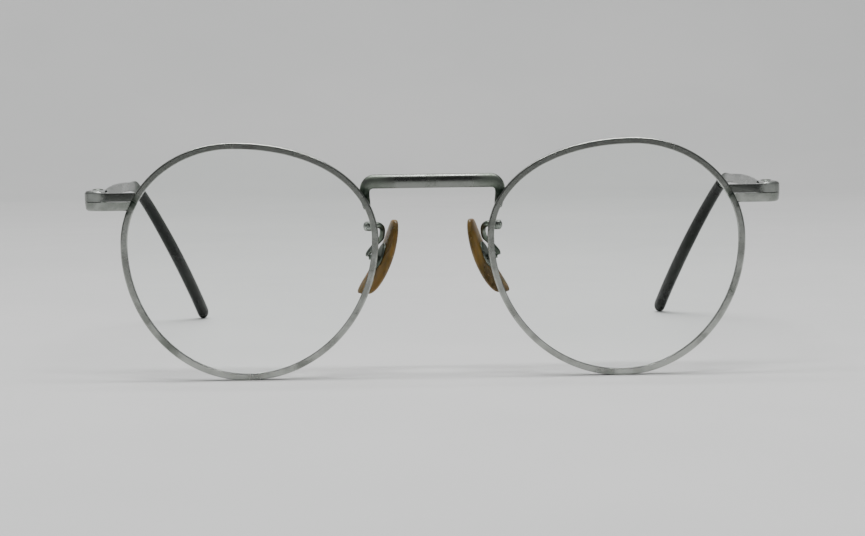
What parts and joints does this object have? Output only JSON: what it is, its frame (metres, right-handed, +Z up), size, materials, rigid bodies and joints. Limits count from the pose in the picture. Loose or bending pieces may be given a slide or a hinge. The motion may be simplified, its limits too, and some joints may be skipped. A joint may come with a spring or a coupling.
{
  "type": "round wire eyeglasses",
  "caption": "Full-rim round wire eyeglasses with a flat saddle bridge, rocking nose pads, split endpieces and folding temples with plastic tips.",
  "frame": {"origin": "middle of the footprint, on the table that the glasses stand on", "axes": "+X towards the wearer's left, +Y back along the temples, +Z up; the lenses face -Y"},
  "size_m": [0.1336, 0.132, 0.0438],
  "materials": {
    "rim_silver": "satin silver plating with a faint green-grey cast",
    "polished_silver": "smooth, mirror-like silver plating with light wear",
    "worn_silver": "pitted and dulled silver plating",
    "tarnished_metal": "dark green tarnish over silver metal",
    "clear_glass": "clear, polished",
    "dark_plastic": "glossy, very dark green-black",
    "amber_plastic": "translucent amber-brown, soft gloss"
  },
  "bodies": {
    "front": {"rim_left": "rim_silver", "rim_right": "rim_silver", "lens_left": "clear_glass", "lens_right": "clear_glass", "bridge": "polished_silver", "endpiece_upper_left": "polished_silver", "endpiece_upper_right": "polished_silver", "endpiece_lower_left": "worn_silver", "endpiece_lower_right": "worn_silver", "hinge_screw_left": "worn_silver", "hinge_screw_right": "worn_silver", "pad_arm_left": "tarnished_metal", "pad_arm_right": "tarnished_metal", "pad_pin_left": "worn_silver", "pad_pin_right": "worn_silver"},
    "temple_left_body": {"temple_left": "rim_silver", "temple_tip_left": "dark_plastic"},
    "temple_right_body": {"temple_right": "rim_silver", "temple_tip_right": "dark_plastic"},
    "pad_left_body": {"nose_pad_left": "amber_plastic", "pad_plate_left": "tarnished_metal"},
    "pad_right_body": {"nose_pad_right": "amber_plastic", "pad_plate_right": "tarnished_metal"}
  },
  "joints": [
    {"name": "temple_left_fold", "type": "hinge", "parent": "front", "child": "temple_left_body", "pos_m": [0.0623, -0.05729, 0.0332], "axis": [0, 0, 1], "range_deg": [0, 88]},
    {"name": "temple_right_fold", "type": "hinge", "parent": "front", "child": "temple_right_body", "pos_m": [-0.0623, -0.05729, 0.0332], "axis": [0, 0, -1], "range_deg": [0, 79]},
    {"name": "pad_left_rock", "type": "hinge", "parent": "front", "child": "pad_left_body", "pos_m": [0.0112, -0.05799, 0.0221], "axis": [0, 1, 0], "range_deg": [-6, 6]},
    {"name": "pad_right_rock", "type": "hinge", "parent": "front", "child": "pad_right_body", "pos_m": [-0.0112, -0.05799, 0.0221], "axis": [0, -1, 0], "range_deg": [-6, 6]}
  ]
}
